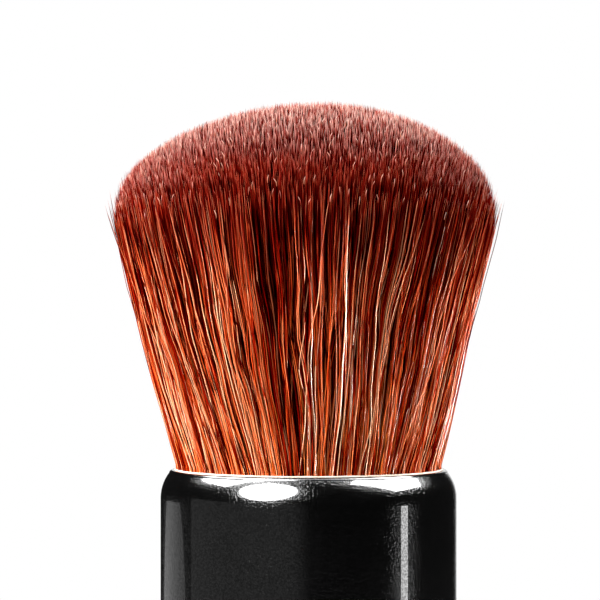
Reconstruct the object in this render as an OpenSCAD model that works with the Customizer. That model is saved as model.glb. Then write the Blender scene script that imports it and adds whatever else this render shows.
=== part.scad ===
// Kabuki makeup brush: a short, wide handle that stands on its own base, with a dense domed head.
// Millimetres, +Z up. The origin is the middle of the flat base that the brush stands on.

/* [Head] */
// Diameter of the head at its widest
head_d = 39; // [34:0.5:42]
// Height of the widest point above the lip
shoulder_h = 26; // [20:1:30]
// Height of the dome above the widest point
dome_h = 11.2; // [7:0.1:14]
// Rings of filament locks from the middle to the rim
lock_rings = 11; // [10:1:11]
// Share of its own cell that a lock fills above the roots
lock_fill = 0.88; // [0.6:0.01:0.92]
// Length of the taper at the end of a lock
taper_len = 1.9; // [1:0.1:3]

/* [Ferrule] */
// Height of the ferrule, from its lower edge to the top of its lip
ferrule_h = 20; // [18:1:26]
// Thickness of the drawn aluminium
ferrule_wall = 0.6; // [0.5:0.05:0.7]
// Outer radius of the bend that turns the mouth inwards
bend_r = 4.2; // [4:0.1:4.4]
// Angle that the mouth is turned through
bend_angle = 40; // [36:1:42]
// Radius of the bead rolled along the edge of the lip
bead_r = 0.35; // [0.3:0.01:0.36]

/* [Handle] */
// Outer diameter of the handle and the ferrule
body_d = 30; // [30:0.1:30.4]
// Height of the handle that shows below the ferrule
handle_h = 14; // [12:1:20]
// Height of the spigot inside the ferrule
spigot_h = 6; // [5:0.5:7]
// Radius of the rounding around the foot
foot_r = 1.4; // [0.8:0.1:1.6]
// Diameter of the opening that the base cap closes
cap_bore_d = 25.2; // [24.6:0.2:25.2]
// Number of ribs inside the handle
ribs = 6; // [4:1:8]

/* [Weight] */
// Diameter of the steel weight
weight_d = 22.4; // [20:0.2:22.6]
// Height of the steel weight
weight_h = 7; // [5:0.5:8]

/* [Hidden] */
$fn = 96;
slip = 0.03;                            // room for glue between two parts that fit together
body_r = body_d / 2;

// Ferrule
lip_z = handle_h + ferrule_h;
bend_x = body_r - bend_r;               // centre of the bend
mid_r = bend_r - ferrule_wall / 2;      // bend radius at the middle of the metal
bead_x = bend_x + mid_r * cos(bend_angle);
bend_z = lip_z - bead_r - mid_r * sin(bend_angle);
ferrule_in_r = body_r - ferrule_wall;
mouth_r = bead_x - bead_r - slip;       // radius of the tuft where it leaves the ferrule

// Handle
spigot_r = ferrule_in_r - slip;
spigot_z = handle_h + spigot_h;
groove_w = 1.2;                         // glue grooves round the spigot
groove_depth = 0.35;
seam_w = 0.3;                           // fine chamfer where the handle meets the ferrule
ceiling_t = 2.4;
ceiling_z = spigot_z - ceiling_t;
cavity_r = weight_d / 2 + 0.3;
rib_t = 1.2;
post_r = 2.8;
post_clear = 0.6;                       // the post ends this far above the cap
weld = 0.5;                             // how far ribs run into the wall that they are moulded with

// Base cap and weight
cap_r = cap_bore_d / 2 - 0.1;
cap_h = 2.3;                            // the cap is flush with the foot and stops at a step in the handle
cap_floor_t = 1.2;
cap_skirt_in_r = weight_d / 2 - 0.8;    // the weight sits on the skirt
cap_edge = 0.2;                         // chamfer round the cap's lower edge
snap_z = 1.3;                           // the bead on the cap's edge and the groove that takes it
snap_r = 0.22;
snap_clear = 0.06;
snap_bite = 0.02;                       // how far the bead's centre lies inside the cap's edge
weight_bore_r = post_r + 0.2;
weight_chamfer = 0.6;
weight_top_z = cap_h + weight_h;

// Tuft cup, resin and roots
cup_r = ferrule_in_r - slip;
cup_in_r = 13.46;
cup_z = spigot_z;
cup_floor_t = 1.2;
cup_top_z = bend_z - 0.2;
resin_t = 1;
resin_z = cup_z + cup_floor_t;
root_z = resin_z + resin_t;             // lower face of the root slice
root_t = 2.6;
root_r = 12.75;
band_t = 0.6;
band_h = 1.8;
band_round = 0.2;

// Head: every lock keeps its place in a lattice of rings, and the lattice widens with height
side_rise = 2.3;                        // how much steeper the side starts than a straight flare
tip_wander = 0.3;                       // how far a tip may lean from the middle of its lock
tip_spread = 0.5;                       // how far a tip may end above or below the dome
tip_seed = 11;
lattice_shift = 0.16;                   // how far an inner lattice point may leave its ring, as a share of a step
shoulder_share = 0.5;                   // height of the middle section of a lock, as a share
lattice_count = 1 + 3 * lock_rings * (lock_rings + 1);
rim_count = 6 * lock_rings;

// A lattice point's place in the list of all of them: ring k holds 6k points
function lattice_index(k, j) = k == 0 ? 0 : 1 + 3 * k * (k - 1) + j % (6 * k);

// A lattice point's place in a disc of radius 1, where all but the rim's are a little out of line
shift_x = rands(-lattice_shift, lattice_shift, lattice_count, tip_seed + 3);
shift_y = rands(-lattice_shift, lattice_shift, lattice_count, tip_seed + 4);
function lattice_point(k, j) =
    let (
        n = lattice_index(k, j),
        on_ring = k == 0 ? [0, 0] : k * [cos(60 * j / k), sin(60 * j / k)],
        shift = k == lock_rings ? [0, 0] : [shift_x[n], shift_y[n]]
    )
    (on_ring + shift) / lock_rings;

// The three lattice points that each lock stands on, as [ring, place] pairs, counterclockwise from above
lock_corners = [
    for (k = [0 : lock_rings - 1], side = [0 : 5], m = [0 : k])
        [[k, side * k + m], [k + 1, side * (k + 1) + m], [k + 1, side * (k + 1) + m + 1]]
];
lock_count = len(lock_corners);
tip_turn = rands(0, 360, lock_count, tip_seed);
tip_lean = rands(0, tip_wander, lock_count, tip_seed + 1);
tip_rise = rands(-tip_spread, tip_spread, lock_count, tip_seed + 2);

// Radius of the tuft's side at height h above the lip
function side_r(h) =
    let (share = min(h / shoulder_h, 1.2), straight = head_d / 2 - mouth_r)
    mouth_r + straight * share + side_rise * share * (1 - share);

// Height of the dome above the lip, for a lock at that share of the radius
function dome_at(share) = shoulder_h + dome_h * pow(max(1 - share * share, 0), 0.6);

// One triangular section of a lock, where the lattice is widened to radius r and stands at height z
function lock_section(corners, r, z, fill) =
    let (middle = (corners[0] + corners[1] + corners[2]) / 3)
    [for (c = corners) let (p = r * (middle + fill * (c - middle))) [p[0], p[1], z]];

// All the points of a lock above its root: three sections and the tip
function lock_points(i) =
    let (
        corners = [for (c = lock_corners[i]) lattice_point(c[0], c[1])],
        middle = (corners[0] + corners[1] + corners[2]) / 3,
        top = dome_at(norm(middle)) + (norm(middle) < 0.9 ? tip_rise[i] : 0),
        half = top * shoulder_share,
        neck = top - taper_len,
        tip = side_r(top) * middle + tip_lean[i] * [cos(tip_turn[i]), sin(tip_turn[i])]
    )
    concat(
        lock_section(corners, mouth_r, lip_z, lock_fill),
        lock_section(corners, side_r(half), lip_z + half, lock_fill),
        lock_section(corners, side_r(neck), lip_z + neck, lock_fill),
        [[tip[0], tip[1], lip_z + top]]
    );

// The faces round a lock's side between two rings of three points
function lock_side(low, high) = [
    for (i = [0 : 2]) let (n = (i + 1) % 3) each [[low[i], high[i], high[n]], [low[i], high[n], low[n]]]
];

function lock_faces(i) =
    let (
        root = [for (c = lock_corners[i]) lattice_index(c[0], c[1])],
        first = lattice_count + rim_count + 10 * i,
        lip = [first, first + 1, first + 2],
        half = [first + 3, first + 4, first + 5],
        neck = [first + 6, first + 7, first + 8],
        tip = first + 9
    )
    concat(
        lock_side(root, lip), lock_side(lip, half), lock_side(half, neck),
        [for (n = [0 : 2]) [neck[n], tip, neck[(n + 1) % 3]]]
    );

// The upper face of the root slice that shows between the locks
slice_top = [
    for (k = [1 : lock_rings - 1], side = [0 : 5], m = [0 : k - 1])
        [
            lattice_index(k, side * k + m),
            lattice_index(k, side * k + m + 1),
            lattice_index(k + 1, side * (k + 1) + m + 1)
        ]
];

// The slice's outer wall
slice_wall = [
    for (j = [0 : rim_count - 1])
        let (
            n = (j + 1) % rim_count,
            high = lattice_index(lock_rings, j),
            high_n = lattice_index(lock_rings, n)
        )
        each [
            [lattice_count + j, high, high_n],
            [lattice_count + j, high_n, lattice_count + n]
        ]
];

// Filament locks, fused at their roots to a slice of the glued root bundle
module bristle_tuft() {
    lattice = [
        for (k = [0 : lock_rings], j = [0 : max(6 * k - 1, 0)])
            let (p = root_r * lattice_point(k, j)) [p[0], p[1], root_z + root_t]
    ];
    slice_rim = [
        for (j = [0 : rim_count - 1])
            let (p = root_r * lattice_point(lock_rings, j)) [p[0], p[1], root_z]
    ];
    locks = [for (i = [0 : lock_count - 1]) each lock_points(i)];
    base_middle = lattice_count + rim_count + len(locks);
    color("sienna")
        polyhedron(
            points = concat(lattice, slice_rim, locks, [[0, 0, root_z]]),
            faces = concat(
                [for (i = [0 : lock_count - 1]) each lock_faces(i)],
                slice_top,
                slice_wall,
                [
                    for (j = [0 : rim_count - 1])
                        [lattice_count + j, lattice_count + (j + 1) % rim_count, base_middle]
                ]
            ),
            convexity = 10
        );
}

// Section of a ring with rounded edges, from its inner lower corner
module round_edged(w, h, r) {
    translate([r, 0])
        square([w - 2 * r, h]);
    translate([0, r])
        square([w, h - 2 * r]);
    for (x = [r, w - r], y = [r, h - r])
        translate([x, y])
            circle(r);
}

// Band that holds the roots together while the resin sets
module root_band() {
    color("ivory")
        rotate_extrude()
            translate([root_r + slip, root_z + (root_t - band_h) / 2])
                round_edged(band_t, band_h, band_round);
}

// Cast resin under the roots
module resin_plug() {
    color("goldenrod")
        translate([0, 0, resin_z])
            cylinder(r = cup_in_r, h = resin_t);
}

// Moulded cup that the glued tuft is set in
module tuft_cup() {
    color("dimgray")
        difference() {
            translate([0, 0, cup_z])
                cylinder(r = cup_r, h = cup_top_z - cup_z);
            translate([0, 0, resin_z])
                cylinder(r = cup_in_r, h = cup_top_z);
        }
}

// Section of the turned-in mouth: a bend of constant thickness, closed by a rolled bead
module lip_section() {
    reach = 2 * bend_r;
    translate([bend_x, bend_z])
        intersection() {
            difference() {
                circle(bend_r);
                circle(bend_r - ferrule_wall);
            }
            polygon([[0, 0], [reach, 0], reach * [cos(bend_angle / 2), sin(bend_angle / 2)],
                reach * [cos(bend_angle), sin(bend_angle)]]);
        }
    translate([bead_x, lip_z - bead_r])
        circle(bead_r);
}

// Drawn aluminium ferrule with its mouth turned in over the cup
module ferrule() {
    color("black")
        rotate_extrude() {
            translate([ferrule_in_r, handle_h])
                square([ferrule_wall, bend_z - handle_h]);
            lip_section();
        }
}

// Outline of the handle's outside, turned: rounded foot, straight wall, spigot with glue grooves
module handle_outline() {
    difference() {
        union() {
            translate([0, foot_r])
                square([body_r, handle_h - foot_r - seam_w]);
            square([body_r - foot_r, handle_h]);
            translate([body_r - foot_r, foot_r])
                circle(foot_r);
            polygon([[0, handle_h - seam_w], [body_r, handle_h - seam_w],
                [body_r - seam_w, handle_h], [0, handle_h]]);
            square([spigot_r, spigot_z]);
        }
        for (share = [0.3, 0.7])
            translate([spigot_r - groove_depth, handle_h + share * spigot_h - groove_w / 2])
                square([2 * groove_depth, groove_w]);
    }
}

// Moulded handle: hollow, with ribs and a post that hold the weight down on the cap
module handle() {
    color("black") {
        difference() {
            rotate_extrude()
                handle_outline();
            translate([0, 0, -1])
                cylinder(r = cavity_r, h = ceiling_z + 1);
            translate([0, 0, -1])
                cylinder(r = cap_bore_d / 2, h = cap_h + 1);
            rotate_extrude()
                translate([cap_bore_d / 2, snap_z])
                    circle(snap_r);
        }
        translate([0, 0, cap_h + post_clear])
            cylinder(r = post_r, h = ceiling_z - cap_h);
        for (n = [0 : ribs - 1])
            rotate(360 * n / ribs)
                translate([0, -rib_t / 2, weight_top_z])
                    cube([cavity_r + weld, rib_t, ceiling_z - weight_top_z + weld]);
    }
}

// Turned steel weight that keeps the brush upright on its base
module weight() {
    r = weight_d / 2;
    color("silver")
        rotate_extrude()
            polygon([
                [weight_bore_r, cap_h], [r - weight_chamfer, cap_h],
                [r, cap_h + weight_chamfer], [r, weight_top_z - weight_chamfer],
                [r - weight_chamfer, weight_top_z], [weight_bore_r, weight_top_z]
            ]);
}

// Cap that snaps into the foot of the handle: a floor with a skirt that carries the weight
module base_cap() {
    color("black")
        rotate_extrude() {
            polygon([[0, 0], [cap_r - cap_edge, 0], [cap_r, cap_edge], [cap_r, cap_floor_t], [0, cap_floor_t]]);
            translate([cap_skirt_in_r, cap_edge])
                square([cap_r - cap_skirt_in_r, cap_h - cap_edge]);
            translate([cap_r - snap_bite, snap_z])
                circle(snap_r - snap_clear);
        }
}

bristle_tuft();
root_band();
resin_plug();
tuft_cup();
ferrule();
handle();
weight();
base_cap();
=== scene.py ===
import math

import bmesh
import bpy
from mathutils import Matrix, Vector


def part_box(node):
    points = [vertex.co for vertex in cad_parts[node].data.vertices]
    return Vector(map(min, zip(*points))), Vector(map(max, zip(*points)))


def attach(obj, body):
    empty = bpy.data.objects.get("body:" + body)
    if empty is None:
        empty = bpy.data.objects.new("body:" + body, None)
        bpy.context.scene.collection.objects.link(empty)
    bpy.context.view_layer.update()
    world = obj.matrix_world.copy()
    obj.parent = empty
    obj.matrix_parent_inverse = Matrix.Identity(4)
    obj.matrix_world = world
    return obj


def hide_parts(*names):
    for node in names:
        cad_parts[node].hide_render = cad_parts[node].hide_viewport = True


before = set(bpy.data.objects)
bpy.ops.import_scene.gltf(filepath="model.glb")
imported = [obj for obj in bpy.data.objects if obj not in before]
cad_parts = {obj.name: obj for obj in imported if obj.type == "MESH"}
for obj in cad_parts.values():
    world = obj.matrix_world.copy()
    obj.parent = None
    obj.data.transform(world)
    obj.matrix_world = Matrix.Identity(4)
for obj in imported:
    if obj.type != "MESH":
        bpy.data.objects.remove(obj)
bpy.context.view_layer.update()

mm = 0.001
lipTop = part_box("ferrule")[1].z / mm         # height of the ferrule's lip above the table
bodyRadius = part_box("ferrule")[1].x / mm
print("frame loaded: the lip is %.1f mm up, the body %.1f mm across" % (lipTop, 2 * bodyRadius))


# Node trees, written as sums

class Wire:
    # a socket that can be added, multiplied and so on; each sign adds a Math or Vector Math node
    def __init__(self, tree, socket):
        self.tree = tree
        self.socket = socket

    def maths(self, operation, *others):
        return self.tree.maths(operation, self, *others)

    def __add__(self, other):
        return self.maths("ADD", other)

    def __radd__(self, other):
        return self.tree.maths("ADD", other, self)

    def __sub__(self, other):
        return self.maths("SUBTRACT", other)

    def __rsub__(self, other):
        return self.tree.maths("SUBTRACT", other, self)

    def __mul__(self, other):
        return self.maths("MULTIPLY", other)

    def __rmul__(self, other):
        return self.tree.maths("MULTIPLY", other, self)

    def __truediv__(self, other):
        return self.maths("DIVIDE", other)

    def __rtruediv__(self, other):
        return self.tree.maths("DIVIDE", other, self)

    def __pow__(self, other):
        return self.maths("POWER", other)

    def __rpow__(self, other):
        return self.tree.maths("POWER", other, self)

    def __neg__(self):
        return self.maths("MULTIPLY", -1.0)

    def step(self, start, end, low=0.0, high=1.0):
        # a smooth step from low to high while the value goes from start to end
        return self.tree.put(
            "ShaderNodeMapRange", {"interpolation_type": "SMOOTHSTEP"},
            {"Value": self, "From Min": start, "From Max": end, "To Min": low, "To Max": high})

    def part(self, axis):
        return self.tree.put("ShaderNodeSeparateXYZ", {}, {"Vector": self}, axis)

    def atLeast(self, limit):
        return self.maths("MAXIMUM", limit)

    def atMost(self, limit):
        return self.maths("MINIMUM", limit)

    def length(self):
        return self.tree.put("ShaderNodeVectorMath", {"operation": "LENGTH"}, {0: self}, "Value")

    def unit(self):
        return self.tree.put("ShaderNodeVectorMath", {"operation": "NORMALIZE"}, {0: self})


def isVector(value):
    return isinstance(value, tuple) or isinstance(value, Wire) and value.socket.type in ("VECTOR", "RGBA")


class Tree:
    # a node tree of either kind, with one method that adds any node
    def __init__(self, nodeTree):
        self.nodeTree = nodeTree

    def put(self, kind, settings=None, links=None, out=None):
        node = self.nodeTree.nodes.new(kind)
        for name, value in (settings or {}).items():
            if name == "stops":
                self.setStops(node.color_ramp, value)
            else:
                setattr(node, name, value)
        for name, value in (links or {}).items():
            socket = self.findSocket(node.inputs, name)
            if isinstance(value, Wire):
                self.nodeTree.links.new(value.socket, socket)
            else:
                socket.default_value = value
        if not node.outputs:
            return node
        return Wire(self, self.findSocket(node.outputs, out))

    def findSocket(self, sockets, name):
        if isinstance(name, int):
            return sockets[name]
        usable = [s for s in sockets if s.enabled]
        if name is None:
            return usable[0]
        return next(s for s in usable if name in (s.identifier, s.name))

    def setStops(self, ramp, stops):
        ramp.elements.remove(ramp.elements[1])
        ramp.elements[0].position = stops[0][0]
        ramp.elements[0].color = rgba(*stops[0][1])
        for place, colour in stops[1:]:
            ramp.elements.new(place).color = rgba(*colour)

    def maths(self, operation, *values):
        vectors = [isVector(value) for value in values]
        if not any(vectors):
            return self.put("ShaderNodeMath", {"operation": operation}, dict(enumerate(values)))
        if operation == "MULTIPLY" and not all(vectors):
            vector, number = values if vectors[0] else values[::-1]
            links = {"Vector": vector, "Scale": number}
            return self.put("ShaderNodeVectorMath", {"operation": "SCALE"}, links)
        spread = [v if isinstance(v, (tuple, Wire)) else (v, v, v) for v in values]
        return self.put("ShaderNodeVectorMath", {"operation": operation}, dict(enumerate(spread)))

    def mix(self, factor, first, second, how="MIX"):
        settings = {"data_type": "RGBA", "blend_type": how, "clamp_factor": True}
        links = {"Factor_Float": factor, "A_Color": first, "B_Color": second}
        return self.put("ShaderNodeMix", settings, links)

    def noise(self, vector, scale, detail=0.0, roughness=0.5, out="Fac"):
        links = {"Vector": vector, "Scale": scale, "Detail": detail, "Roughness": roughness}
        return self.put("ShaderNodeTexNoise", {}, links, out)

    def vector(self, x, y, z):
        return self.put("ShaderNodeCombineXYZ", {}, {"X": x, "Y": y, "Z": z})


def rgba(red, green, blue):
    return (red, green, blue, 1.0)


# Random numbers of each filament. Their order here is the order of their seeds

draws = ("rootOut", "rootRound", "reach", "drift", "lift", "sink", "bend", "nod", "shade", "roll", "girth")


class GrowthTree(Tree):
    # a Geometry Nodes tree with named inputs
    def __init__(self, name, inputs):
        group = bpy.data.node_groups.new(name, "GeometryNodeTree")
        super().__init__(group)
        for label, kind in inputs.items():
            group.interface.new_socket(label, in_out="INPUT", socket_type="NodeSocket" + kind)
        group.interface.new_socket("Geometry", in_out="OUTPUT", socket_type="NodeSocketGeometry")
        source = group.nodes.new("NodeGroupInput")
        self.given = {label: Wire(self, source.outputs[label]) for label in inputs}

    def lot(self, draw, strand, low=0.0, high=1.0):
        seed = self.given["Seed"] + (draws.index(draw) + 1)
        links = {"Min_001": low, "Max_001": high, "ID": strand, "Seed": seed}
        return self.put("FunctionNodeRandomValue", {"data_type": "FLOAT"}, links)

    def store(self, geometry, name, value, kind="FLOAT", domain="POINT"):
        links = {"Geometry": geometry, "Name": name, "Value": value}
        return self.put("GeometryNodeStoreNamedAttribute", {"data_type": kind, "domain": domain}, links)

    def read(self, name, kind="FLOAT"):
        return self.put("GeometryNodeInputNamedAttribute", {"data_type": kind}, {"Name": name})

    def cells(self, vector, scale, out):
        links = {"Vector": vector, "Scale": scale}
        return self.put("ShaderNodeTexVoronoi", {"voronoi_dimensions": "2D"}, links, out)

    def circle(self, sides, radius):
        links = {"Resolution": sides, "Radius": radius}
        return self.put("GeometryNodeCurvePrimitiveCircle", {"mode": "RADIUS"}, links)

    def finish(self, geometry):
        real = self.put("GeometryNodeRealizeInstances", {}, {"Geometry": geometry})
        smooth = self.put("GeometryNodeSetShadeSmooth", {}, {"Geometry": real, "Shade Smooth": True})
        links = {"Geometry": smooth, "Material": self.given["Material"]}
        painted = self.put("GeometryNodeSetMaterial", {}, links)
        self.put("NodeGroupOutput", {}, {"Geometry": painted})
        return self.nodeTree


def growPiece(name, group, values, leftovers=()):
    # grows the tree once, and keeps its result as a plain mesh
    piece = bpy.data.objects.new(name, bpy.data.meshes.new(name))
    bpy.context.scene.collection.objects.link(piece)
    modifier = piece.modifiers.new("grow", "NODES")
    modifier.node_group = group
    sockets = [item for item in group.interface.items_tree if item.in_out == "INPUT"]
    for socket in sockets:
        modifier[socket.identifier] = values[socket.name]
    bpy.context.view_layer.update()
    graph = bpy.context.evaluated_depsgraph_get()
    mesh = bpy.data.meshes.new_from_object(
        piece.evaluated_get(graph), preserve_all_data_layers=True, depsgraph=graph)
    piece.modifiers.clear()
    piece.data = mesh
    mesh.name = name
    for leftover in leftovers:
        if leftover in mesh.attributes:
            mesh.attributes.remove(mesh.attributes[leftover])
    triangles = sum(len(p.vertices) - 2 for p in mesh.polygons)
    print("%s: %d triangles" % (name, triangles))
    return piece


# The bristle head. Lengths are in mm, heights are above the lip, and shares are of the head's radius

head = {
    "Lip Height": lipTop,
    "Mouth Radius": 13.3,
    "Head Radius": 19.0,
    "Side Rise": 1.4,          # how much fuller the side is than a straight flare
    "Shoulder Height": 25.7,
    "Dome Height": 11.3,
    "Dome Roundness": 0.58,    # a half gives an ellipse, and more gives a flatter shoulder
    "Dome Tilt": 0.05,         # the top is cut a little higher on the right
    "Lean": 0.40,              # the head stands this far to the left of the body
    "Fan": 3.2,                # how far the front and the back spread away from their middle
    "Fan Turn": 0.14,          # where that middle is, radians to the right of the front
}
layerInputs = {
    "Count": "Int",
    "Inner Share": "Float",    # the ring of the bundle in which the roots stand
    "Outer Share": "Float",
    "Length": "Float",
    "Points": "Int",           # along each filament
    "Thickness": "Float",
    "Clumping": "Float",       # how far neighbours draw together into locks, from 0 to 1
    "Wave": "Float",           # how far neighbours swing sideways together
    "Crossing": "Float",       # how far single filaments run across the others
    "Ripple": "Float",         # how far each one is bent by itself
    "Lift": "Float",           # how far the loosest one stands off
    "Curl": "Float",           # how far the ends are bent
    "Hook": "Float",           # the length of the bent end
    "Tufting": "Float",        # how far the tips close in small points, from 0 to 1
    "Tip Spread": "Float",     # how unevenly the tips end
    "Taper": "Float",          # the length of the drawn-out point
    "Shadow": "Float",         # how fast the painted shade grows below the tips
    "Seed": "Int",
    "Material": "Material",
}

# How every filament grows. Cells are counted along the head's radius, and waves along one mm of height
habit = {
    "scatter": 0.4,            # how far a root strays from its place in the pattern, in steps of the pattern
    "patternTurn": 1.7,        # how far each layer's pattern is turned from the one before, in radians
    "rootDepth": 2.0,          # where the longest ones start, below the lip
    "flareTo": 1.3,            # the side widens up to this share of the shoulder's height
    "lockCells": 17.0,         # how fine the locks of the side are
    "tuftCells": 50.0,         # and the small points of the dome
    "tuftLength": 5.0,         # the length of the ends that close in small points
    "waveCells": 3.4,          # how soon the shared wave changes round the head
    "waveRise": 0.075,         # and up it
    "waveOfLock": 0.8,         # how far a lock's wave is ahead of the next one's, at most
    "rippleOfStrand": 7.31,    # how far apart two filaments lie in the noise that bends them
    "rippleOfLayer": 3.7,      # and two layers
    "rippleRise": 0.16,        # how soon a ripple changes on the way up
    "rippleInward": 0.5,       # how far a ripple goes in and out, against across
    "fanPower": 3.0,           # the higher, the more the fan is left to the outermost
    "liftPower": 6.0,          # the higher, the fewer stand off
    "sink": 0.25,              # how far the others lie deeper, at most
    "sides": 3,                # of each filament
    "girth": (0.8, 1.2),       # the thinnest and the thickest, against the layer's thickness
    "taperPower": 0.6,         # one gives a straight cone, and less a blunter end
    "tipFrom": 0.999,          # where a filament's last ring begins, along its length
    "weld": 0.001,             # that ring closes to a point
}

# Zones: a height where a change begins, one where it ends, and the values there
zones = {
    "lockCloses": (0.0, 7.0, 0.1, 1.0),        # locks draw together above the lip
    "lockOpens": (13.0, 25.0, 1.0, 0.15),      # and open towards the shoulder
    "freeFrom": (0.0, 12.0, 0.0, 1.0),         # filaments wave where the lip no longer holds them
    "freeTo": (14.0, 26.0, 1.0, 0.4),          # and less where they hold each other
    "leanFrom": (0.0, 16.0, 0.0, 1.0),
}

# The map that is baked on: a strip for each filament, side by side in rows
bakeMap = {
    "columns": 128.0,
    "left": 0.1,               # the strip's left edge and how far it goes in one turn, in columns
    "turn": 1.2,
    "foot": 0.04,              # the strip's foot and its height, in rows
    "height": 0.92,
}


def sideRadius(sizes, share):
    # the head's radius at a share of the shoulder's height, for numbers and for wires
    flare = sizes["Head Radius"] - sizes["Mouth Radius"]
    return sizes["Mouth Radius"] + share * flare + share * (1 - share) * sizes["Side Rise"]


def domeTop(sizes, inside):
    # the dome's height, where inside is 1 in the middle and 0 at the edge
    return sizes["Shoulder Height"] + sizes["Dome Height"] * inside ** sizes["Dome Roundness"]


def plantRoots(tree):
    # a sunflower pattern in a ring of the bundle, a little out of line
    given = tree.given
    goldenAngle = math.pi * (3 - math.sqrt(5))
    stray = habit["scatter"]
    index = tree.put("GeometryNodeInputIndex")
    innerArea = given["Inner Share"] * given["Inner Share"]
    ringArea = given["Outer Share"] * given["Outer Share"] - innerArea
    spacing = (ringArea * math.pi / given["Count"]) ** 0.5
    share = (innerArea + ringArea * (index + 0.5) / given["Count"]) ** 0.5
    share = share + tree.lot("rootOut", index, -stray, stray) * spacing
    share = share.atLeast(0.0).atMost(given["Outer Share"])
    angle = index * goldenAngle + given["Seed"] * habit["patternTurn"]
    angle = angle + tree.lot("rootRound", index, -stray, stray) * spacing
    points = tree.put("GeometryNodePoints", {}, {"Count": given["Count"]})
    rootAt = tree.vector(share * angle.maths("COSINE"), share * angle.maths("SINE"), 0.0)
    points = tree.store(points, "rootAt", rootAt, "FLOAT_VECTOR")
    return tree.store(points, "strand", index)


def drawLines(tree, points):
    # a straight line for each root, which is bent into place later
    line = tree.put("GeometryNodeCurvePrimitiveLine", {}, {"End": (0, 0, 1)})
    line = tree.put("GeometryNodeResampleCurve", {}, {"Curve": line, "Count": tree.given["Points"]})
    lines = tree.put("GeometryNodeInstanceOnPoints", {}, {"Points": points, "Instance": line})
    return tree.put("GeometryNodeRealizeInstances", {}, {"Geometry": lines})


def thickenLines(tree, lines, strand, belowTip):
    # flat sides to each filament, drawn out to a closed point
    given = tree.given
    ring = tree.store(
        tree.circle(habit["sides"], mm), "side", tree.put("GeometryNodeInputIndex") / habit["sides"])
    thin = (belowTip / given["Taper"]).atMost(1.0).atLeast(0.0) ** habit["taperPower"]
    thickness = given["Thickness"] / 2 * tree.lot("girth", strand, *habit["girth"]) * thin
    mesh = tree.put(
        "GeometryNodeCurveToMesh", {},
        {"Curve": lines, "Profile Curve": ring, "Scale": thickness, "Fill Caps": True})
    atTip = tree.read("along").maths("GREATER_THAN", habit["tipFrom"])
    mesh = tree.put(
        "GeometryNodeMergeByDistance", {},
        {"Geometry": mesh, "Selection": atTip, "Distance": habit["weld"] * mm})
    # one corner of each filament is marked as its lit edge; the material paints the sides away from it in
    # shade
    onLitEdge = tree.read("side").maths("LESS_THAN", 0.5 / habit["sides"])
    return tree.store(mesh, "ridge", onLitEdge)


def storeMap(tree, mesh):
    # each filament is unrolled into a strip of its own
    columns = bakeMap["columns"]
    strand = tree.read("strand")
    row = (strand / columns).maths("FLOOR")
    rows = (tree.given["Count"] / columns).maths("CEIL")
    across = (strand - row * columns + bakeMap["left"] + tree.read("side") * bakeMap["turn"]) / columns
    up = (row + bakeMap["foot"] + tree.read("along") * bakeMap["height"]) / rows
    return tree.store(mesh, "OFBake", tree.vector(across, up, 0.0), "FLOAT2", "CORNER")


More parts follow.
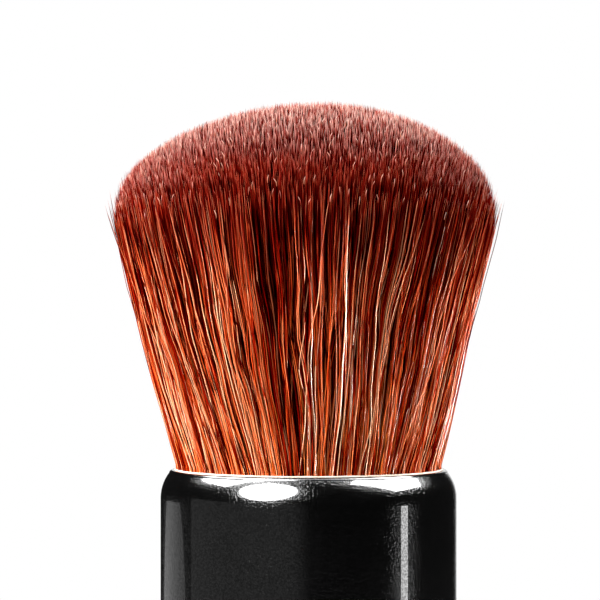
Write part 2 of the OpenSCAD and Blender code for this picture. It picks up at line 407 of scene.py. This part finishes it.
def filamentTree():
    # roots, then straight lines, which are bent, given their attributes and thickened
    tree = GrowthTree("filaments", {**dict.fromkeys(head, "Float"), **layerInputs})
    given = tree.given
    lines = drawLines(tree, plantRoots(tree))

    # how high each point is above the lip, and how far below its own tip
    rootAt = tree.read("rootAt", "FLOAT_VECTOR")
    strand = tree.read("strand")
    share = rootAt.length()
    along = tree.put("GeometryNodeSplineParameter", {}, {}, "Factor")
    inside = (1 - share * share).atLeast(0.0)
    tilt = rootAt.part("X") * given["Head Radius"] * given["Dome Tilt"] * inside
    reach = tree.lot("reach", strand, -1.0, 1.0) * given["Tip Spread"]
    top = domeTop(given, inside) + tilt + reach
    low = (top - given["Length"]).atLeast(-habit["rootDepth"])
    height = low + (top - low) * along
    belowTip = top - height
    risen = height / given["Shoulder Height"]
    radius = sideRadius(given, risen.atLeast(0.0).atMost(habit["flareTo"]))

    # neighbours draw together into locks, most of all in the lower half, and never outwards
    lockMiddle = tree.cells(rootAt, habit["lockCells"], "Position")
    lockLot = tree.cells(rootAt, habit["lockCells"], "Color").part("X")
    pull = given["Clumping"] * height.step(*zones["lockCloses"]) * height.step(*zones["lockOpens"])
    drawn = rootAt + (lockMiddle - rootAt) * pull

    # and the tips close in small points, each with a tone of its own
    tuftMiddle = tree.cells(rootAt, habit["tuftCells"], "Position")
    tone = tree.cells(rootAt, habit["tuftCells"], "Color").part("Y")
    closing = belowTip.step(0.0, habit["tuftLength"], 1.0, 0.0)
    drawn = drawn + (tuftMiddle - drawn) * given["Tufting"] * closing
    outward = drawn.unit()
    place = outward * drawn.length().atMost(share)
    sideways = tree.vector(-outward.part("Y"), outward.part("X"), 0.0)

    # slow waves that neighbours share, a drift across the others, and a ripple of each filament's own
    free = height.step(*zones["freeFrom"]) * height.step(*zones["freeTo"])
    spot = rootAt * habit["waveCells"]
    rise = height * habit["waveRise"] + lockLot * habit["waveOfLock"]
    shared = tree.noise(tree.vector(spot.part("X"), spot.part("Y"), rise), 1.0, 1.0)
    apart = strand * habit["rippleOfStrand"]
    spot = tree.vector(apart, given["Seed"] * habit["rippleOfLayer"], height * habit["rippleRise"])
    own = tree.noise(spot, 1.0, 1.0, out="Color") - 0.5
    drift = tree.lot("drift", strand, -1.0, 1.0)
    drift = drift * drift.maths("ABSOLUTE") * given["Crossing"] * risen
    turn = outward.part("X").maths("ARCTAN2", -outward.part("Y")) - given["Fan Turn"]
    fan = (turn * 2).maths("SINE") * given["Fan"] * risen * share ** habit["fanPower"]
    across = (shared - 0.5) * given["Wave"] * free + fan + drift + own.part("X") * given["Ripple"] * free

    # some stand off and the others lie deeper, and the ends are bent
    loose = tree.lot("lift", strand) ** habit["liftPower"] * given["Lift"] * risen
    loose = loose - tree.lot("sink", strand) * habit["sink"] * free
    inAndOut = loose + own.part("Y") * given["Ripple"] * habit["rippleInward"] * free
    bend = belowTip.step(0.0, given["Hook"], 1.0, 0.0) * given["Curl"] * tree.lot("bend", strand, -1.0, 1.0)
    nod = bend * tree.lot("nod", strand, -1.0, 1.0)
    lean = height.step(*zones["leanFrom"]) * given["Lean"]
    spot = place * radius + sideways * (across + bend) + outward * inAndOut
    spot = tree.vector(spot.part("X") - lean, spot.part("Y") + nod, height + given["Lip Height"])
    lines = tree.put("GeometryNodeSetPosition", {}, {"Geometry": lines, "Position": spot * mm})
    roll = tree.lot("roll", strand, -math.pi, math.pi)

    # what the material reads
    # how deep a point lies in the bundle, which the material turns into painted shade
    depth = ((1 - share) * radius).atMost(belowTip * given["Shadow"])
    shade = tree.lot("shade", strand)
    kept = {"along": along, "belowTip": belowTip, "depth": depth, "lot": shade, "tone": tone}
    for name, value in kept.items():
        lines = tree.store(lines, name, value)
    lines = tree.put("GeometryNodeSetCurveTilt", {}, {"Curve": lines, "Tilt": roll})
    return tree.finish(storeMap(tree, thickenLines(tree, lines, strand, belowTip)))


# Materials

def newMaterial(name):
    material = bpy.data.materials.new(name)
    material.use_nodes = True
    material.node_tree.nodes.clear()
    return material, Tree(material.node_tree)


def finishMaterial(tree, shader):
    tree.put("ShaderNodeOutputMaterial", {}, {"Surface": shader})


def objectPlace(tree):
    # object coordinates in mm
    return tree.put("ShaderNodeTexCoord", {}, {}, "Object") * (1 / mm)


# Hair. Heights are above the lip and lengths in mm; brightness is 0 for a middling filament, less for a
# dark one and more for one that catches the light: partly each filament's own random tone, partly painted
# light and shade. A pair says where a change begins and ends, and a four also gives the values there

hairLook = {
    "dye": [                   # colours from the root to the dome, and where they stand on the dye's scale
        (0.0, (0.97, 0.225, 0.032)),
        (0.22, (0.97, 0.170, 0.023)),
        (0.48, (0.86, 0.095, 0.014)),
        (0.78, (0.29, 0.014, 0.006)),
    ],
    "dyeHeight": 30.0,         # the height that is 1 on that scale
    "dyeSpread": 7.0,          # how far single filaments differ in it
    "secondLot": 37.0,         # the fraction of so many times the first random number is another one
    "byTuft": 0.6,             # how far brightness differs from one small point to another
    "byStrand": 3.0,           # from one filament to another
    "byPlace": 2.0,            # and along one filament
    "wanderRise": 0.25,        # how fast it changes there
    "wanderOfLot": 911.0,      # and how far apart two filaments lie in its noise
    "dimmer": 2.75,            # the less, the brighter is the whole piece
    "lowFrom": (0.0, 5.0, 0.0, 1.0),           # heights between which all is a little brighter
    "lowTo": (6.0, 18.0, 0.25, 0.0),
    "bright": (1.0, 0.24, 0.08),               # painted highlight: a filament that catches the light
    "brightAt": (0.0, 1.1),
    "creamHighlight": (1.0, 0.52, 0.28),                # and the brightest painted highlight
    "creamAt": (1.0, 1.7),
    "outerDepth": (0.0, 0.4, 1.0, 0.0),        # only the outermost get the painted highlight, and less so higher up
    "outerHeight": (16.0, 24.0, 1.0, 0.25),
    "tip": (0.78, 0.150, 0.085),               # the bleached end
    "rimLitTip": (1.0, 0.560, 0.470),             # the same, painted paler with rim light at the top of the dome
    "topFrom": (29.0, 36.5),
    "flank": (7.0, 19.0, 0.0, 0.5),            # ends are painted paler with rim light this far out to the left and right too
    "tipLength": 0.8,
    "tipGlow": 0.3,            # how much brighter a bleached end is
    "contrast": 9.0,           # a middling filament against one a step darker
    "purer": (2.8, 3.0),       # how much faster green and blue fall than red in a dark filament
    "shadedSide": 0.4,            # how bright the painted shade leaves the side away from the lit edge
    "wholeAt": (0.2, 0.8),     # a bright filament has no painted shade on its far side
    "deep": (0.05, 0.004, 0.002),              # what painted shade leaves of the colour inside the bundle
    "deepAt": (0.03, 0.6),     # how deep, in mm
    "deepHeight": (12.0, 24.0, 1.0, 0.5),      # light reaches deeper in the upper part
    "roughness": 0.5,
    "gloss": 1.0,
    "glossRoughness": 0.15,
    "glossIndex": 1.6,
    "glossAt": (0.1, 1.0),     # only bright filaments shine, and only on their lit edge
    "glossRidge": (0.15, 0.6),
    "glossDepth": (0.05, 0.4),
    "glossHeight": (13.0, 24.0, 1.0, 0.25),
}
# What differs in the short filaments of the dome, in the strays and in the curled ends
tipChanges = {
    "tip": (0.44, 0.052, 0.027),
    # painted rim light on the ends at the top of the dome
    "rimLitTip": (1.0, 0.64, 0.54),
    "contrast": 18.0,
    "dimmer": 2.65,
    "tipLength": 1.3,
    "deepAt": (0.03, 0.7),
    "gloss": 3.2,
}
strayChanges = {"dimmer": 2.35, "shadedSide": 0.8}
curlChanges = {
    "tip": (1.0, 0.50, 0.38),
    # painted rim light on the ends at the top of the dome
    "rimLitTip": (1.0, 0.75, 0.66),
    "dimmer": 1.85,
    "shadedSide": 0.8,
    "gloss": 0.3,
}


def hairMaterial(name, changes):
    look = {**hairLook, **changes}
    material, tree = newMaterial(name)
    labels = ("lot", "tone", "belowTip", "depth", "ridge")
    lot, tone, belowTip, depth, ridge = (
        tree.put("ShaderNodeAttribute", {"attribute_name": label}, {}, "Fac") for label in labels)
    place = objectPlace(tree)
    height = place.part("Z") - lipTop
    shifted = (height + (lot - 0.5) * look["dyeSpread"]) / look["dyeHeight"]
    dyed = tree.put("ShaderNodeValToRGB", {"stops": look["dye"]}, {"Fac": shifted}, "Color")

    # each filament has a brightness of its own, which wanders along it: partly its own random tone, partly
    # painted light and shade
    otherLot = (lot * look["secondLot"]).maths("FRACT")
    wander = tree.noise(tree.vector(lot * look["wanderOfLot"], height * look["wanderRise"], 0.0), 1.0)
    level = tone * look["byTuft"] + otherLot * look["byStrand"] + wander * look["byPlace"] - look["dimmer"]
    level = level + height.step(*look["lowFrom"]) * height.step(*look["lowTo"])
    outer = depth.step(*look["outerDepth"]) * height.step(*look["outerHeight"])
    # the brightest filaments near the outside are painted with highlight colours
    colour = tree.mix(level.step(*look["brightAt"]) * outer, dyed, rgba(*look["bright"]))
    colour = tree.mix(level.step(*look["creamAt"]) * outer, colour, rgba(*look["creamHighlight"]))

    # its end is bleached, and painted paler with rim light at the top of the dome and on the left and right
    # flanks
    bleached = belowTip.step(0.0, look["tipLength"], 1.0, 0.0)
    flank = place.part("X").maths("ABSOLUTE").step(*look["flank"])
    pale = (height.step(*look["topFrom"]) + flank).atMost(1.0)
    tip = tree.mix(pale, rgba(*look["tip"]), rgba(*look["rimLitTip"]))
    colour = tree.mix(bleached, colour, tip)

    # a dark one is a purer red, and so is its far side, which is painted shade
    green, blue = look["purer"]
    shade = look["contrast"] ** (level + bleached * look["tipGlow"]).atMost(0.0)
    shade = shade * ridge.step(0.0, 0.5, look["shadedSide"], 1.0).atLeast(level.step(*look["wholeAt"]))
    colour = tree.mix(1.0, colour, tree.vector(shade, shade ** green, shade ** blue), "MULTIPLY")

    # and painted shade darkens it towards the inside of the bundle
    inside = (depth * height.step(*look["deepHeight"])).step(*look["deepAt"])
    deep = tree.mix(inside, rgba(1, 1, 1), rgba(*look["deep"]))
    colour = tree.mix(1.0, colour, deep, "MULTIPLY")

    # the shine is a clear coat
    shiny = level.step(*look["glossAt"]) * ridge.step(*look["glossRidge"]) * height.step(*look["glossHeight"])
    gloss = depth.step(*look["glossDepth"], look["gloss"], 0.0) * shiny
    shader = tree.put("ShaderNodeBsdfPrincipled", {}, {
        "Base Color": colour, "Roughness": look["roughness"], "Specular IOR Level": 0.0,
        "Coat Weight": gloss, "Coat Roughness": look["glossRoughness"], "Coat IOR": look["glossIndex"]})
    finishMaterial(tree, shader)
    return material


# Lacquer: a clear coat over fine grain. Pairs and fours are read as in the hair's look

lacquerLook = {
    "dark": (0.001, 0.001, 0.001),
    "flake": (0.002, 0.002, 0.002),
    "flakeAt": (0.4, 0.7),
    "grain": 0.20,             # size of the fine grain under the clear coat, mm
    "grainStrength": 1.0,
    "grainDepth": 0.035,       # mm
    "cloud": 0.35,             # how many soft clouds there are in one mm
    "roughness": (0.3, 0.7, 0.12, 0.16),       # under the coat, where the clouds differ
    "specular": 0.2,
    "coat": (0.35, 0.65, 0.4, 1.0),            # the grain thins the clear coat in places
    "coatRoughness": 0.02,
    "coatIndex": 1.5,
}


def lacquerMaterial(name, look):
    material, tree = newMaterial(name)
    place = objectPlace(tree)
    grain = tree.noise(place, 1 / look["grain"], 1.0, 0.5)
    cloud = tree.noise(place, look["cloud"], 2.0)
    bump = tree.put("ShaderNodeBump", {}, {
        "Strength": look["grainStrength"], "Distance": look["grainDepth"] * mm, "Height": grain})
    colour = tree.mix(grain.step(*look["flakeAt"]), rgba(*look["dark"]), rgba(*look["flake"]))
    shader = tree.put("ShaderNodeBsdfPrincipled", {}, {
        "Base Color": colour, "Normal": bump, "Roughness": cloud.step(*look["roughness"]),
        "Specular IOR Level": look["specular"], "Coat Weight": grain.step(*look["coat"]),
        "Coat Roughness": look["coatRoughness"], "Coat IOR": look["coatIndex"]})
    finishMaterial(tree, shader)
    return material


# Moulded and turned inner pieces: one colour each, with the mottling and fine grain of the real thing.
# Mottle and grain count the spots in one mm, and the depth of the grain is in mm

innerLooks = {
    "root_band": dict(
        dark=(0.55, 0.46, 0.30), light=(0.72, 0.64, 0.45), mottle=1.2, grain=6.0, depth=0.02,
        metal=0.0, roughness=0.6),
    "resin_plug": dict(
        dark=(0.35, 0.17, 0.03), light=(0.55, 0.32, 0.08), mottle=0.5, grain=2.0, depth=0.01,
        metal=0.0, roughness=0.15),
    "tuft_cup": dict(
        dark=(0.035, 0.035, 0.036), light=(0.055, 0.055, 0.056), mottle=0.8, grain=9.0, depth=0.02,
        metal=0.0, roughness=0.5),
    "weight": dict(
        dark=(0.36, 0.36, 0.37), light=(0.52, 0.52, 0.53), mottle=2.0, grain=12.0, depth=0.01,
        metal=1.0, roughness=0.3),
    "base_cap": dict(
        dark=(0.016, 0.016, 0.017), light=(0.026, 0.026, 0.027), mottle=0.9, grain=7.0, depth=0.03,
        metal=0.0, roughness=0.42),
}
innerGrain = {
    "strength": 0.4,
    "mottleAt": (0.3, 0.7),
    "roughnessSpread": 0.05,
}


def plainMaterial(name, look):
    material, tree = newMaterial(name)
    place = objectPlace(tree)
    mottle = tree.noise(place, look["mottle"], 3.0, 0.6)
    grain = tree.noise(place, look["grain"], 2.0, 0.6)
    colour = tree.mix(mottle.step(*innerGrain["mottleAt"]), rgba(*look["dark"]), rgba(*look["light"]))
    bump = tree.put("ShaderNodeBump", {}, {
        "Strength": innerGrain["strength"], "Distance": look["depth"] * mm, "Height": grain})
    ends = [look["roughness"] + side * innerGrain["roughnessSpread"] for side in (-1, 1)]
    shader = tree.put("ShaderNodeBsdfPrincipled", {}, {
        "Base Color": colour, "Metallic": look["metal"], "Normal": bump,
        "Roughness": mottle.step(*innerGrain["mottleAt"], *ends)})
    finishMaterial(tree, shader)
    return material


def dress(node, material):
    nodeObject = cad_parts[node]
    if not nodeObject.material_slots:
        nodeObject.data.materials.append(material)
    for slot in nodeObject.material_slots:
        slot.material = material


# Bristles: long ones in rings round the side, short ones for the dome, and a few strays and curled ends

sideLayer = {
    "Count": 2700, "Length": 99.0, "Points": 12, "Thickness": 0.112, "Clumping": 0.42, "Wave": 2.9,
    "Crossing": 2.2, "Ripple": 0.42, "Lift": 0.5, "Curl": 0.0, "Hook": 1.0, "Tufting": 0.3,
    "Tip Spread": 0.3, "Taper": 1.6, "Shadow": 0.4, "Material": hairMaterial("bristleHair", {}),
}
tipLayer = {
    "Count": 7800, "Length": 5.0, "Points": 5, "Thickness": 0.11, "Clumping": 0.2, "Wave": 3.2,
    "Crossing": 2.0, "Ripple": 0.4, "Lift": 0.0, "Curl": 0.12, "Hook": 1.5, "Tufting": 0.2,
    "Tip Spread": 0.35, "Taper": 0.5, "Shadow": 0.8, "Material": hairMaterial("bristleTip", tipChanges),
}
strayLayer = {
    "Count": 260, "Length": 99.0, "Points": 24, "Thickness": 0.09, "Clumping": 0.0, "Wave": 3.4,
    "Crossing": 5.0, "Ripple": 1.4, "Lift": 0.6, "Curl": 0.1, "Hook": 2.0, "Tufting": 0.0,
    "Tip Spread": 0.5, "Taper": 3.0, "Shadow": 0.4, "Material": hairMaterial("bristleStray", strayChanges),
}
curlLayer = {
    "Count": 1300, "Length": 0.8, "Points": 8, "Thickness": 0.07, "Clumping": 0.0, "Wave": 3.4,
    "Crossing": 2.2, "Ripple": 0.6, "Lift": 0.2, "Curl": 0.24, "Hook": 0.5, "Tufting": 0.0,
    "Tip Spread": 0.35, "Taper": 0.3, "Shadow": 0.1, "Material": hairMaterial("bristleCurl", curlChanges),
}

# The bundle is planted in rings, so that no piece gets too heavy
rings = {
    "side": 5,                 # rings of long filaments
    "top": 3,                  # and of short ones
    "edge": 0.82,              # share of the radius where the long filaments begin
    "shoulder": 0.94,          # and where the short ones end
    "stray": 0.97,             # the strays stand outside this
}


def ringEdges(inner, outer, n, count):
    # the edges of one ring out of several with the same area
    return [math.sqrt(inner ** 2 + (outer ** 2 - inner ** 2) * k / count) for k in (n, n + 1)]


def plannedLayers():
    edge, sides, tops = rings["edge"], rings["side"], rings["top"]
    planned = [("bristlesSide%d" % (n + 1), sideLayer, ringEdges(edge, 1.0, n, sides)) for n in range(sides)]
    planned += [("bristlesTop%d" % (n + 1), tipLayer, ringEdges(0.0, edge, n, tops)) for n in range(tops)]
    return planned + [
        ("bristlesShoulder", tipLayer, (edge, rings["shoulder"])),
        ("bristlesStray", strayLayer, (rings["stray"], 1.0)),
        ("bristlesCurled", curlLayer, (0.0, 1.0)),
    ]


filaments = filamentTree()
growthOnly = ("rootAt", "strand", "along", "side")        # attributes that no material reads
tuft = []
for seed, (name, layer, edges) in enumerate(plannedLayers(), start=1):
    values = {**head, **layer, "Inner Share": edges[0], "Outer Share": edges[1], "Seed": seed}
    tuft.append(growPiece(name, filaments, values, growthOnly))


# A dark body in the dense middle of the head: painted shade, which shows only as the dark between the
# filaments

coreLook = {
    "inset": 2.3,              # how far it lies inside the head's side
    "below": 2.9,              # and below the dome
    "foot": -1.5,              # height above the lip
    "rings": 28,
    "domeRings": 16,
    "sides": 96,
    # its colours are painted shade, with streaks like filaments
    "dark": (0.012, 0.002, 0.001),
    "light": (0.06, 0.010, 0.004),
    "streaks": 5.0,            # in one mm across
    "stretch": (1.0, 1.0, 0.08),               # the streaks run upwards
    "streakAt": (0.35, 0.65),
    "streakStrength": 0.8,
    "streakDepth": 0.2,
    "roughness": 0.8,
}


def coreProfile():
    # radius and height above the lip, from the middle of the foot to the middle of the dome
    foot = coreLook["foot"]
    edge = head["Head Radius"] - coreLook["inset"]

    def topAt(radius):
        return domeTop(head, 1 - (radius / head["Head Radius"]) ** 2) - coreLook["below"]

    profile = [(0.0, foot)]
    for k in range(coreLook["rings"] + 1):
        height = foot + (topAt(edge) - foot) * k / coreLook["rings"]
        side = sideRadius(head, max(height / head["Shoulder Height"], 0.0)) - coreLook["inset"]
        profile.append((min(side, edge), height))
    for k in range(1, coreLook["domeRings"]):
        radius = edge * math.cos(math.pi / 2 * k / coreLook["domeRings"])
        profile.append((radius, topAt(radius)))
    profile.append((0.0, topAt(0.0)))
    return profile


def coreMesh():
    # the profile turned round the axis, with one point at either end
    shape = bmesh.new()
    turns = [2 * math.pi * k / coreLook["sides"] for k in range(coreLook["sides"])]
    loops = []
    for radius, height in coreProfile():
        around = turns if radius else turns[:1]
        loops.append([
            shape.verts.new((radius * math.cos(a) * mm, radius * math.sin(a) * mm, (height + lipTop) * mm))
            for a in around])
    for lower, upper in zip(loops, loops[1:]):
        for k in range(coreLook["sides"]):
            n = (k + 1) % coreLook["sides"]
            corners = [
                lower[k % len(lower)], lower[n % len(lower)], upper[n % len(upper)], upper[k % len(upper)]]
            shape.faces.new(list(dict.fromkeys(corners)))
    bmesh.ops.recalc_face_normals(shape, faces=shape.faces)
    mesh = bpy.data.meshes.new("bristlesShadeCore")
    shape.to_mesh(mesh)
    shape.free()
    for face in mesh.polygons:
        face.use_smooth = True
    return mesh


def coreMaterial():
    material, tree = newMaterial("bristleShadeCore")
    streak = tree.noise(objectPlace(tree) * coreLook["stretch"], coreLook["streaks"], 2.0, 0.7)
    colour = tree.mix(streak.step(*coreLook["streakAt"]), rgba(*coreLook["dark"]), rgba(*coreLook["light"]))
    bump = tree.put("ShaderNodeBump", {}, {
        "Strength": coreLook["streakStrength"], "Distance": coreLook["streakDepth"] * mm, "Height": streak})
    shader = tree.put("ShaderNodeBsdfPrincipled", {}, {
        "Base Color": colour, "Roughness": coreLook["roughness"], "Normal": bump})
    finishMaterial(tree, shader)
    return material


def makeCore():
    mesh = coreMesh()
    mesh.materials.append(coreMaterial())
    core = bpy.data.objects.new("bristlesShadeCore", mesh)
    bpy.context.scene.collection.objects.link(core)
    return core


tuft.append(makeCore())
for piece in tuft:
    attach(piece, "root")
    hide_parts("bristle_tuft")
print("bristles done")


# A fine bead of glue, coloured pale cream to stand in for the highlight on the lip's edge: a painted
# highlight, which shows as a pale line between the bristles and the lip

glueLook = {
    "Ring Radius": 13.50,
    "Thickness": 0.20,
    "Height": lipTop + 0.04,   # of its middle, above the table
    "Wobble": 0.06,            # how uneven it is
    "Wobble Scale": 0.9,       # waves in one mm
    "Turns": 192,
    "Sides": 8,
}
glueFinish = {
    # the pale cream is a painted highlight on the lip's edge
    "dark": (0.95, 0.80, 0.62),
    "light": (0.98, 0.93, 0.86),
    "mottle": 1.2,             # spots in one mm
    "mottleAt": (0.35, 0.65),
    "strength": 0.3,           # of the bumps, which go this deep
    "depth": 0.02,
    "roughness": 0.3,
}


def glueTree():
    kinds = {label: "Int" if label in ("Turns", "Sides") else "Float" for label in glueLook}
    tree = GrowthTree("glueBead", {**kinds, "Material": "Material"})
    given = tree.given
    ring = tree.circle(given["Turns"], given["Ring Radius"] * mm)
    place = tree.put("GeometryNodeInputPosition")
    wave = tree.noise(place * (1 / mm), given["Wobble Scale"], 2.0, out="Color") - 0.5
    offset = wave * (given["Wobble"] * mm) + tree.vector(0.0, 0.0, given["Height"] * mm)
    ring = tree.put("GeometryNodeSetPosition", {}, {"Geometry": ring, "Offset": offset})
    section = tree.circle(given["Sides"], given["Thickness"] * (mm / 2))
    return tree.finish(tree.put("GeometryNodeCurveToMesh", {}, {"Curve": ring, "Profile Curve": section}))


def glueMaterial():
    material, tree = newMaterial("glueAndLipHighlight")
    mottle = tree.noise(objectPlace(tree), glueFinish["mottle"], 3.0, 0.6)
    bump = tree.put("ShaderNodeBump", {}, {
        "Strength": glueFinish["strength"], "Distance": glueFinish["depth"] * mm, "Height": mottle})
    colour = tree.mix(
        mottle.step(*glueFinish["mottleAt"]), rgba(*glueFinish["dark"]), rgba(*glueFinish["light"]))
    shader = tree.put("ShaderNodeBsdfPrincipled", {}, {
        "Base Color": colour, "Roughness": glueFinish["roughness"], "Normal": bump})
    finishMaterial(tree, shader)
    return material


glue = growPiece("glueBead", glueTree(), {**glueLook, "Material": glueMaterial()})
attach(glue, "root")


# Lacquered body and inner pieces

lacquer = lacquerMaterial("blackLacquer", lacquerLook)
for node in ("ferrule", "handle"):
    dress(node, lacquer)
for node, look in innerLooks.items():
    dress(node, plainMaterial(node + "Finish", look))
print("body dressed")


# Camera, level with the middle of the photograph

shot = {
    "focalPixels": 2820.0,     # how far the photograph's plane is from the lens, in its own pixels
    "imagePixels": 600.0,
    "pixelsPerMm": 9.86,       # at the middle of the brush
    "middleX": -0.88,          # where the middle of the picture meets the brush, mm
    "middleZ": 51.16,
    "sensor": 36.0,
    "nearest": 10.0,           # nothing nearer or farther than this is drawn, mm
    "farthest": 20000.0,
}


def makeCamera():
    data = bpy.data.cameras.new("photoCamera")
    camera = bpy.data.objects.new("photoCamera", data)
    bpy.context.scene.collection.objects.link(camera)
    distance = shot["focalPixels"] / shot["pixelsPerMm"]
    camera.location = Vector((shot["middleX"], -distance, shot["middleZ"])) * mm
    camera.rotation_euler = (math.radians(90), 0, 0)
    data.sensor_width = shot["sensor"]
    data.lens = shot["sensor"] * shot["focalPixels"] / shot["imagePixels"]
    data.clip_start = shot["nearest"] * mm
    data.clip_end = shot["farthest"] * mm
    bpy.context.scene.camera = camera


# Lamps. Azimuth 0 is towards the camera and 90 to its right, and each lamp points at the aim, unless it
# hangs level and faces down. The softboxes light the colours; the others are seen only as a shine, on the
# lacquer or on the hair

softboxes = {
    "keySoftbox": dict(azimuth=-66, elevation=22, distance=600, width=240, height=280, glow=2.15),
    "topSoftbox": dict(azimuth=-70, elevation=65, distance=500, width=350, height=250, glow=1.05),
    "backSoftbox": dict(azimuth=-160, elevation=35, distance=500, width=350, height=250, glow=0.55),
    "fillSoftbox": dict(azimuth=35, elevation=12, distance=700, width=260, height=300, glow=0.15),
    "rightSoftbox": dict(azimuth=97, elevation=14, distance=600, width=200, height=300, glow=1.80),
}
lacquerShine = {
    "shineOval": dict(azimuth=-36, elevation=35, distance=500, width=390, height=420, glow=42, round=True),
    "shineLeft": dict(azimuth=-100, elevation=49.2, distance=396, width=300, height=255, glow=42, level=True),
    "shineRight": dict(
        azimuth=93.2, elevation=38.6, distance=481, width=450, height=345, glow=42, level=True),
    "shineTop": dict(azimuth=180, elevation=83, distance=302, width=400, height=285, glow=42, level=True),
    "stripRight": dict(azimuth=77.5, elevation=-9, distance=500, width=58, height=90, glow=12),
    "cardLeft": dict(azimuth=-125, elevation=-14, distance=120, width=88, height=46, glow=0.5, round=True),
}
hairShine = {
    "glintLeft": dict(azimuth=-78, elevation=0, distance=500, width=300, height=360, glow=26),
    "glintRight": dict(azimuth=80, elevation=0, distance=500, width=300, height=360, glow=70),
    "glintTop": dict(azimuth=-60, elevation=65, distance=500, width=300, height=260, glow=18),
    "glintBack": dict(azimuth=-165, elevation=40, distance=500, width=300, height=200, glow=10),
}
aim = Vector((0, 0, lipTop)) * mm


def hangLamp(name, lamp, watts):
    data = bpy.data.lights.new(name, "AREA")
    data.shape = "ELLIPSE" if lamp.get("round") else "RECTANGLE"
    data.size = lamp["width"] * mm
    data.size_y = lamp["height"] * mm
    data.energy = watts
    holder = bpy.data.objects.new(name, data)
    bpy.context.scene.collection.objects.link(holder)
    turn, rise = math.radians(lamp["azimuth"]), math.radians(lamp["elevation"])
    away = Vector((math.sin(turn) * math.cos(rise), -math.cos(turn) * math.cos(rise), math.sin(rise)))
    holder.location = aim + away * lamp["distance"] * mm
    if not lamp.get("level"):
        holder.rotation_euler = away.to_track_quat("Z", "Y").to_euler()
    return holder


def gather(name, things):
    group = bpy.data.collections.new(name)
    for thing in things:
        group.objects.link(thing)
    return group


def makeLamps():
    lacquered = [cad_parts[node] for node in ("ferrule", "handle", "base_cap")]
    body = gather("lacquered", lacquered)
    bristles = gather("bristled", tuft)
    brush = gather("brush", [*lacquered, *tuft, glue])
    for name, lamp in softboxes.items():
        # the same glow gives the same light at the brush from any distance
        watts = lamp["glow"] * math.pi ** 2 * (lamp["distance"] * mm) ** 2
        hangLamp(name, lamp, watts).visible_glossy = False
    for lamps, receivers in ((lacquerShine, body), (hairShine, bristles)):
        for name, lamp in lamps.items():
            # here the glow is how bright the lamp's face looks in the shine
            area = lamp["width"] * lamp["height"] * mm * mm * (math.pi / 4 if lamp.get("round") else 1)
            holder = hangLamp(name, lamp, lamp["glow"] * math.pi * area)
            holder.visible_diffuse = False
            holder.visible_transmission = False
            holder.light_linking.receiver_collection = receivers
            holder.light_linking.blocker_collection = brush


# Surroundings. Camera rays see white; what the lacquer mirrors is a dim room with a grey wall to the left
# and white paper behind. Turns are in degrees, 0 towards the camera, and heights are shares of straight up

room = {
    "ambient": 0.05,           # light from all round on what isn't a mirror
    "dimGlow": 0.01,
    "wallGlow": 0.30,
    "wallFrom": (-104.0, -102.0),
    "wallTo": (-14.0, 3.0, 1.0, 0.0),
    "wallTop": (0.07, 0.13, 1.0, 0.0),
    "paperFrom": (162.0, 166.0),
    "paperTo": (-176.0, -174.0, 1.0, 0.0),
}


def lightPaths(tree, *kinds):
    return [tree.put("ShaderNodeLightPath", {}, {}, "Is %s Ray" % kind) for kind in kinds]


def makeRoom():
    world = bpy.data.worlds.new("studio")
    bpy.context.scene.world = world
    world.use_nodes = True
    world.node_tree.nodes.clear()
    tree = Tree(world.node_tree)
    cameraRay, glossyRay, clearRay = lightPaths(tree, "Camera", "Glossy", "Transmission")
    direction = tree.put("ShaderNodeTexCoord", {}, {}, "Generated")
    x, y, z = (direction.part(axis) for axis in "XYZ")
    turn = x.maths("ARCTAN2", -y) * (180 / math.pi)
    wall = turn.step(*room["wallFrom"]) * turn.step(*room["wallTo"]) * z.step(*room["wallTop"])
    paper = turn.step(*room["paperFrom"]) + turn.step(*room["paperTo"])
    mirrored = (wall * room["wallGlow"] + paper).atLeast(room["dimGlow"])
    seen = cameraRay.atLeast(clearRay)
    strength = seen + (1 - seen) * (glossyRay * mirrored + (1 - glossyRay) * room["ambient"])
    background = tree.put("ShaderNodeBackground", {}, {"Color": rgba(1, 1, 1), "Strength": strength})
    tree.put("ShaderNodeOutputWorld", {}, {"Surface": background})


# The table, a sheet of paper that the brush stands on. Distances are from its middle, in mm

tableLook = {
    "radius": 1500.0,
    "segments": 128,
    "paper": 0.70,
    "bounce": 0.30,            # how pale the paper is to the light that it throws back at the brush
    "whiteAt": (70.0, 180.0),                  # where it turns white to the camera
    "mirrorAt": (60.0, 160.0),                 # where it stops showing in the lacquer
}


def tableMaterial():
    material, tree = newMaterial("tableTop")
    cameraRay, glossyRay = lightPaths(tree, "Camera", "Glossy")
    away = objectPlace(tree).length()
    shades = (rgba(*[tableLook[label]] * 3) for label in ("bounce", "paper"))
    paper = tree.put("ShaderNodeBsdfDiffuse", {}, {"Color": tree.mix(cameraRay, *shades)})
    white = tree.put("ShaderNodeEmission", {}, {"Color": rgba(1, 1, 1), "Strength": 1.0})
    clear = tree.put("ShaderNodeBsdfTransparent")
    faded = away.step(*tableLook["whiteAt"]) * cameraRay
    gone = away.step(*tableLook["mirrorAt"]) * glossyRay
    shaded = tree.put("ShaderNodeMixShader", {}, {0: faded, 1: paper, 2: white})
    shaded = tree.put("ShaderNodeMixShader", {}, {0: gone, 1: shaded, 2: clear})
    finishMaterial(tree, shaded)
    return material


def makeTable():
    shape = bmesh.new()
    bmesh.ops.create_circle(
        shape, cap_ends=True, segments=tableLook["segments"], radius=tableLook["radius"] * mm)
    mesh = bpy.data.meshes.new("table")
    shape.to_mesh(mesh)
    shape.free()
    mesh.materials.append(tableMaterial())
    table = bpy.data.objects.new("table", mesh)
    bpy.context.scene.collection.objects.link(table)


makeCamera()
makeLamps()
makeRoom()
makeTable()
bpy.context.scene.view_settings.view_transform = "Standard"
print("studio done")
